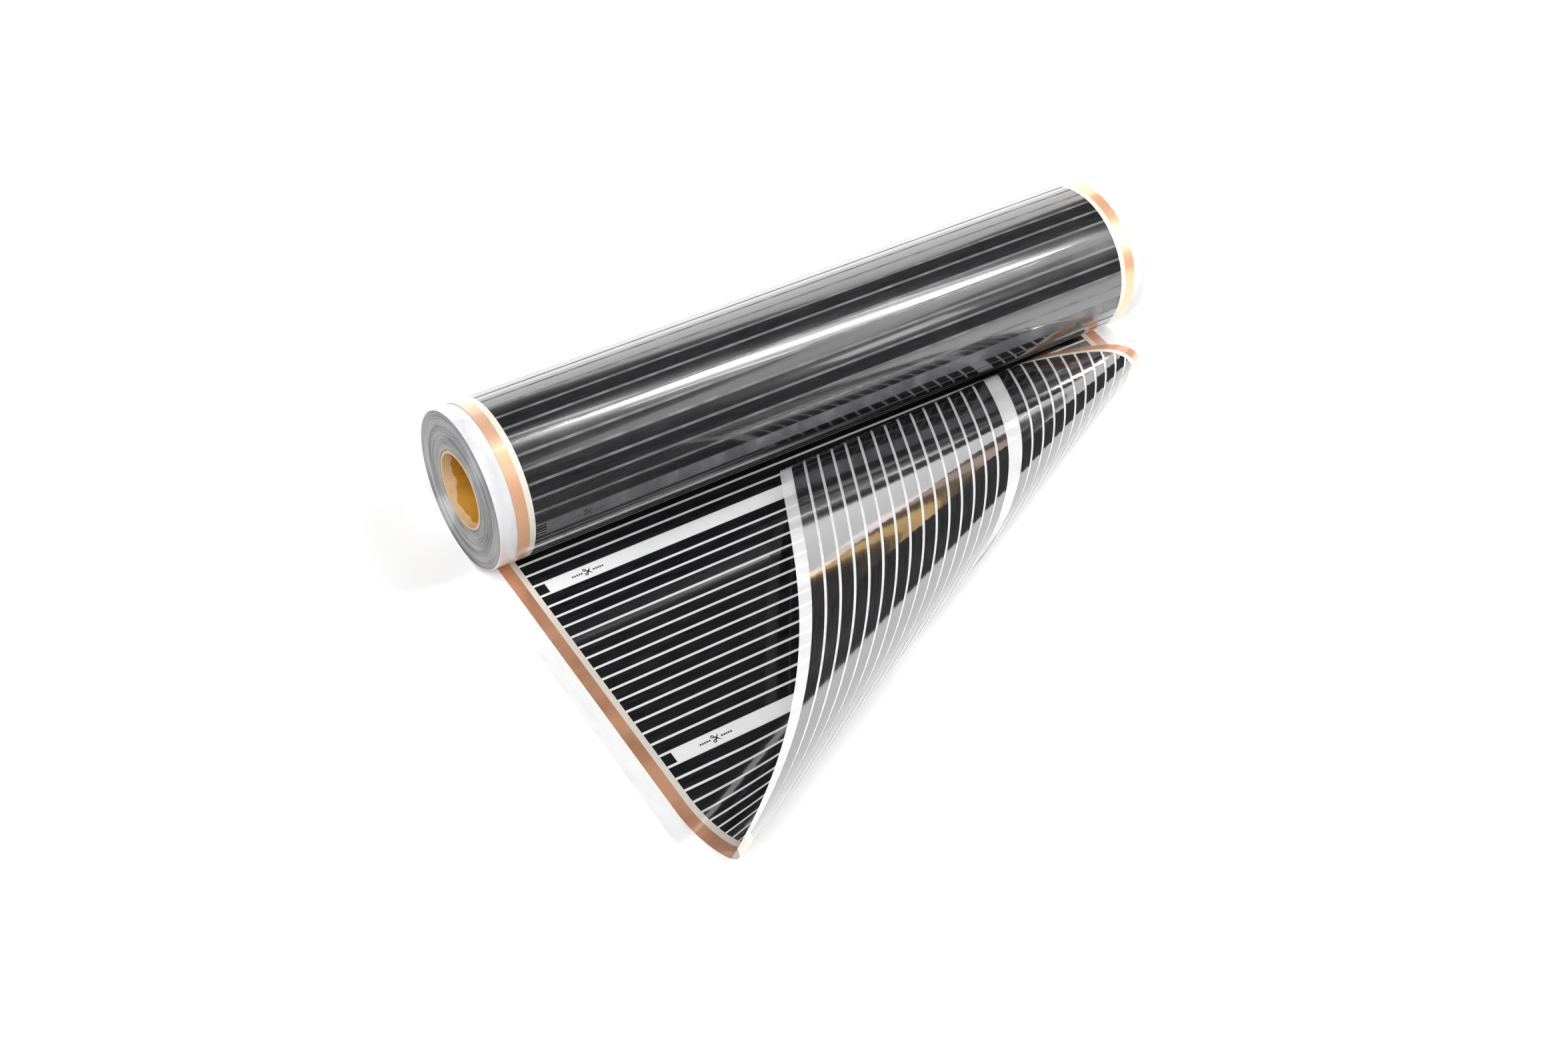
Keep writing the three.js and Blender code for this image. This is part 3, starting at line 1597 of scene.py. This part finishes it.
@dataclass
class Core:
    """The cardboard core that the film is wound on.

    Attributes:
        path: Path of the film, for the height of the axis.
        finishes: Materials.
        bore: Radius of the bore.
        wall: Thickness of the wall.
        length: Length of the core.
        rounding: Rounding of its edges.
        lining_depth: From each end to where the coloured lining begins.
        tear: How far the lining's torn edge wanders.
        lining_thickness: How far the lining stands inside the bore, and reaches into the wall.
        sides: Steps round the core.
    """

    path: FilmPath
    finishes: Finishes
    bore: float = 38 * MM
    wall: float = 3 * MM
    length: float = 800 * MM
    rounding: float = 0.5 * MM
    lining_depth: float = 9 * MM
    tear: float = 5 * MM
    lining_thickness: float = 0.15 * MM
    sides: int = 96

    def build(self) -> list[bpy.types.Object]:
        """Builds the tube and its lining.

        Returns:
            The two pieces.
        """
        return [self.tube(), self.lining()]

    def tube(self) -> bpy.types.Object:
        """The cardboard tube, with rounded mouths.

        Returns:
            The piece.
        """
        half = self.length / 2
        outer = self.bore + self.wall
        outline = [(-half, self.bore), (half, self.bore), (half, outer), (-half, outer)]
        mesh = spun(outline, self.path.radius, self.sides)
        rims = [edge for edge in mesh.edges if self._is_rim(edge)]
        bmesh.ops.bevel(
            mesh, geom=rims, offset=self.rounding, segments=3, profile=0.5, affect="EDGES", material=-1
        )
        piece = finished_object("core_cardboard_tube", mesh)
        return dress(piece, Slot.CARDBOARD, self.finishes.cardboard)

    def _is_rim(self, edge: bmesh.types.BMEdge) -> bool:
        """Finds whether an edge of the tube runs round one of its mouths.

        Args:
            edge: The edge.

        Returns:
            Whether both its ends lie on the same end of the tube, equally far from its axis.
        """
        first, second = (vertex.co for vertex in edge.verts)
        apart = [math.hypot(place.y, place.z - self.path.radius) for place in (first, second)]
        return first.x * second.x > 0 and abs(apart[0] - apart[1]) < SLAB_WELD

    def lining(self) -> bpy.types.Object:
        """The coloured paper lining, torn short of both mouths.

        Returns:
            The piece.
        """
        half = self.length / 2 - self.lining_depth
        inside = self.bore - self.lining_thickness
        hidden = self.bore + self.lining_thickness
        outline = [(-half, inside), (half, inside), (half, hidden), (-half, hidden)]
        mesh = spun(outline, self.path.radius, self.sides)
        for vertex in mesh.verts:
            angle = math.atan2(vertex.co.y, vertex.co.z - self.path.radius)
            side = 1 if vertex.co.x > 0 else -1
            # Three waves of falling height, and different at each mouth
            wander = math.sin(3 * angle + side)
            wander += 0.6 * math.sin(7 * angle + 2)
            wander += 0.3 * math.sin(17 * angle)
            vertex.co.x += side * self.tear * wander / 2
        piece = finished_object("core_paper_lining", mesh)
        return dress(piece, Slot.CARDBOARD, self.finishes.lining)


@dataclass(frozen=True)
class Softbox:
    """One soft rectangular light.

    Attributes:
        name: Name of the light.
        place: Its middle.
        facing: Direction that it shines in.
        size: Its two sides, the first one along its own level direction.
        radiance: How bright it looks. The floor looks about 1.5.
        tilt: Degrees that it is turned in its own plane.
        colour: Colour of its light.
    """

    name: str
    place: tuple[float, float, float]
    facing: tuple[float, float, float]
    size: tuple[float, float]
    radiance: float
    tilt: float = 0
    colour: Colour = WHITE

    def build(self) -> None:
        """Adds the light. The camera doesn't see it directly."""
        data = bpy.data.lights.new(self.name, "AREA")
        data.shape = "RECTANGLE"
        data.size, data.size_y = self.size
        data.color = self.colour
        data.energy = self.radiance * math.pi * self.size[0] * self.size[1]
        lamp = bpy.data.objects.new(self.name, data)
        bpy.context.scene.collection.objects.link(lamp)
        turn = Vector(self.facing).to_track_quat("-Z", "Y") @ Quaternion((0, 0, 1), math.radians(self.tilt))
        lamp.location = self.place
        lamp.rotation_mode = "QUATERNION"
        lamp.rotation_quaternion = turn
        lamp.visible_camera = False


STUDIO_LIGHTS = (
    Softbox("light_backdrop", (2.22, 2.6, 0.4), (0, -1, 0), (4.0, 4.2), 1.7, tilt=-40),
    Softbox("light_backdrop_right", (3.66, 1.37, 0.85), (-0.9, -0.42, 0), (2.1, 1.7), 1.6),
    Softbox("light_overhead_strip", (1.3, -0.65, 2.5), (0, 0, -1), (1.8, 0.2), 16, tilt=-27),
    Softbox("light_overhead_second", (1.45, -1.05, 2.5), (0, 0, -1), (1.5, 0.05), 9, tilt=-27),
    Softbox("light_overhead_third", (1.15, -0.25, 2.5), (0, 0, -1), (1.6, 0.07), 6, tilt=-27),
    Softbox("light_overhead_wide", (1.6, -1.8, 2.5), (-0.3, 0.3, -1), (1.7, 0.7), 1.3),
    Softbox("light_overhead_far", (2.55, -3.6, 2.5), (-0.5, 0.8, -1), (0.5, 0.5), 3.5),
    Softbox("light_warm_low", (3.45, 2.1, 2.05), (-0.9, -0.45, -0.3), (1.9, 0.18), 1.3, colour=PINKISH),
    Softbox("light_warm_high", (3.4, 1.7, 2.3), (-0.9, -0.45, -0.3), (2.3, 0.16), 2.0, colour=GOLDEN),
)


@dataclass
class Studio:
    """Floor, light and camera.

    Attributes:
        floor_half: Half the side of the floor.
        floor_colour: Colour of the floor.
        floor_roughness: Roughness of the floor.
        surround: Brightness of the surroundings.
        key_strength: Strength of the key light.
        key_softness: Angle over which the key light spreads, in degrees.
        key_from: Where the key light comes from.
        fill_strength: Strength of the fill light.
        fill_softness: Angle over which the fill light spreads, in degrees.
        fill_from: Where the fill light comes from.
        sensor: Width of the camera's sensor, in millimetres.
        lens: Focal length of its lens, in millimetres.
        camera_at: Where the camera stands.
        camera_turn: Rows of its rotation matrix.
    """

    floor_half: float = 8.0
    floor_colour: Colour = (0.9, 0.9, 0.9)
    floor_roughness: float = 0.9
    surround: float = 0.07
    key_strength: float = 3.3
    key_softness: float = 50
    key_from: tuple[float, float, float] = (-0.5, -0.25, 0.85)
    fill_strength: float = 2.8
    fill_softness: float = 14
    fill_from: tuple[float, float, float] = (0.78, -0.41, 0.47)
    sensor: float = 36
    lens: float = 48.815
    camera_at: tuple[float, float, float] = (-1.0372, -1.3033, 1.5607)
    camera_turn: tuple[tuple[float, float, float], ...] = (
        (0.83188959, 0.34712162, -0.43297378),
        (-0.54816822, 0.63553014, -0.54370309),
        (0.08643679, 0.6896434, 0.71897195),
    )

    def build(self) -> None:
        """Sets up the studio."""
        self.floor()
        self.light()
        self.camera()
        bpy.context.scene.view_settings.view_transform = "Standard"

    def floor(self) -> None:
        """A plain pale floor."""
        mesh = bmesh.new()
        bmesh.ops.create_grid(mesh, x_segments=1, y_segments=1, size=self.floor_half)
        floor = finished_object("studio_floor", mesh)
        material = bpy.data.materials.new("studio_floor")
        material.use_nodes = True
        shader = material.node_tree.nodes["Principled BSDF"]
        shader.inputs["Base Color"].default_value = rgba(self.floor_colour)
        shader.inputs["Roughness"].default_value = self.floor_roughness
        floor.data.materials.append(material)

    def light(self) -> None:
        """Plain surroundings, a soft key light, and the soft boxes that the film reflects."""
        world = bpy.data.worlds.new("studio")
        world.use_nodes = True
        background = world.node_tree.nodes["Background"]
        background.inputs["Color"].default_value = rgba(WHITE)
        background.inputs["Strength"].default_value = self.surround
        bpy.context.scene.world = world
        for softbox in STUDIO_LIGHTS:
            softbox.build()
        self._distant("light_key", self.key_strength, self.key_softness, self.key_from)
        self._distant("light_fill", self.fill_strength, self.fill_softness, self.fill_from)

    def _distant(
        self, name: str, strength: float, softness: float, source: Sequence[float]
    ) -> None:
        """Adds a distant soft light.

        Args:
            name: Name of the light.
            strength: Its strength.
            softness: Angle over which it spreads, in degrees.
            source: Direction that it comes from.
        """
        data = bpy.data.lights.new(name, "SUN")
        data.energy = strength
        data.angle = math.radians(softness)
        lamp = bpy.data.objects.new(name, data)
        bpy.context.scene.collection.objects.link(lamp)
        lamp.rotation_mode = "QUATERNION"
        lamp.rotation_quaternion = (-Vector(source)).to_track_quat("-Z", "Y")

    def camera(self) -> None:
        """The camera at the photograph's viewing angle."""
        data = bpy.data.cameras.new("camera")
        data.sensor_width = self.sensor
        data.lens = self.lens
        camera = bpy.data.objects.new("camera", data)
        bpy.context.scene.collection.objects.link(camera)
        turn = Matrix(self.camera_turn)
        camera.matrix_world = Matrix.Translation(self.camera_at) @ turn.to_4x4()
        bpy.context.scene.camera = camera


def main() -> None:
    """Builds the part and its studio."""
    logging.basicConfig(level=logging.INFO, format="%(name)s %(message)s")
    path = FilmPath()
    pattern = FilmPattern()
    finishes = Finishes()
    Studio().build()
    on_floor = Span(LIFT_OFF, path.loose_length)
    on_roll = Span(-math.tau * path.radius, LIFT_OFF)
    loose = FilmLayers("loose", path, pattern, finishes, on_floor)
    wound = FilmLayers("roll", path, pattern, finishes, on_roll, wound=True)
    for piece in loose.build():
        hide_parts("loose_end")
    for piece in [WoundStack(path, pattern, finishes).build(), *wound.build()]:
        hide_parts("film_roll")
    for piece in Core(path, finishes).build():
        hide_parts("core_tube")


if __name__ == "__main__":
    main()
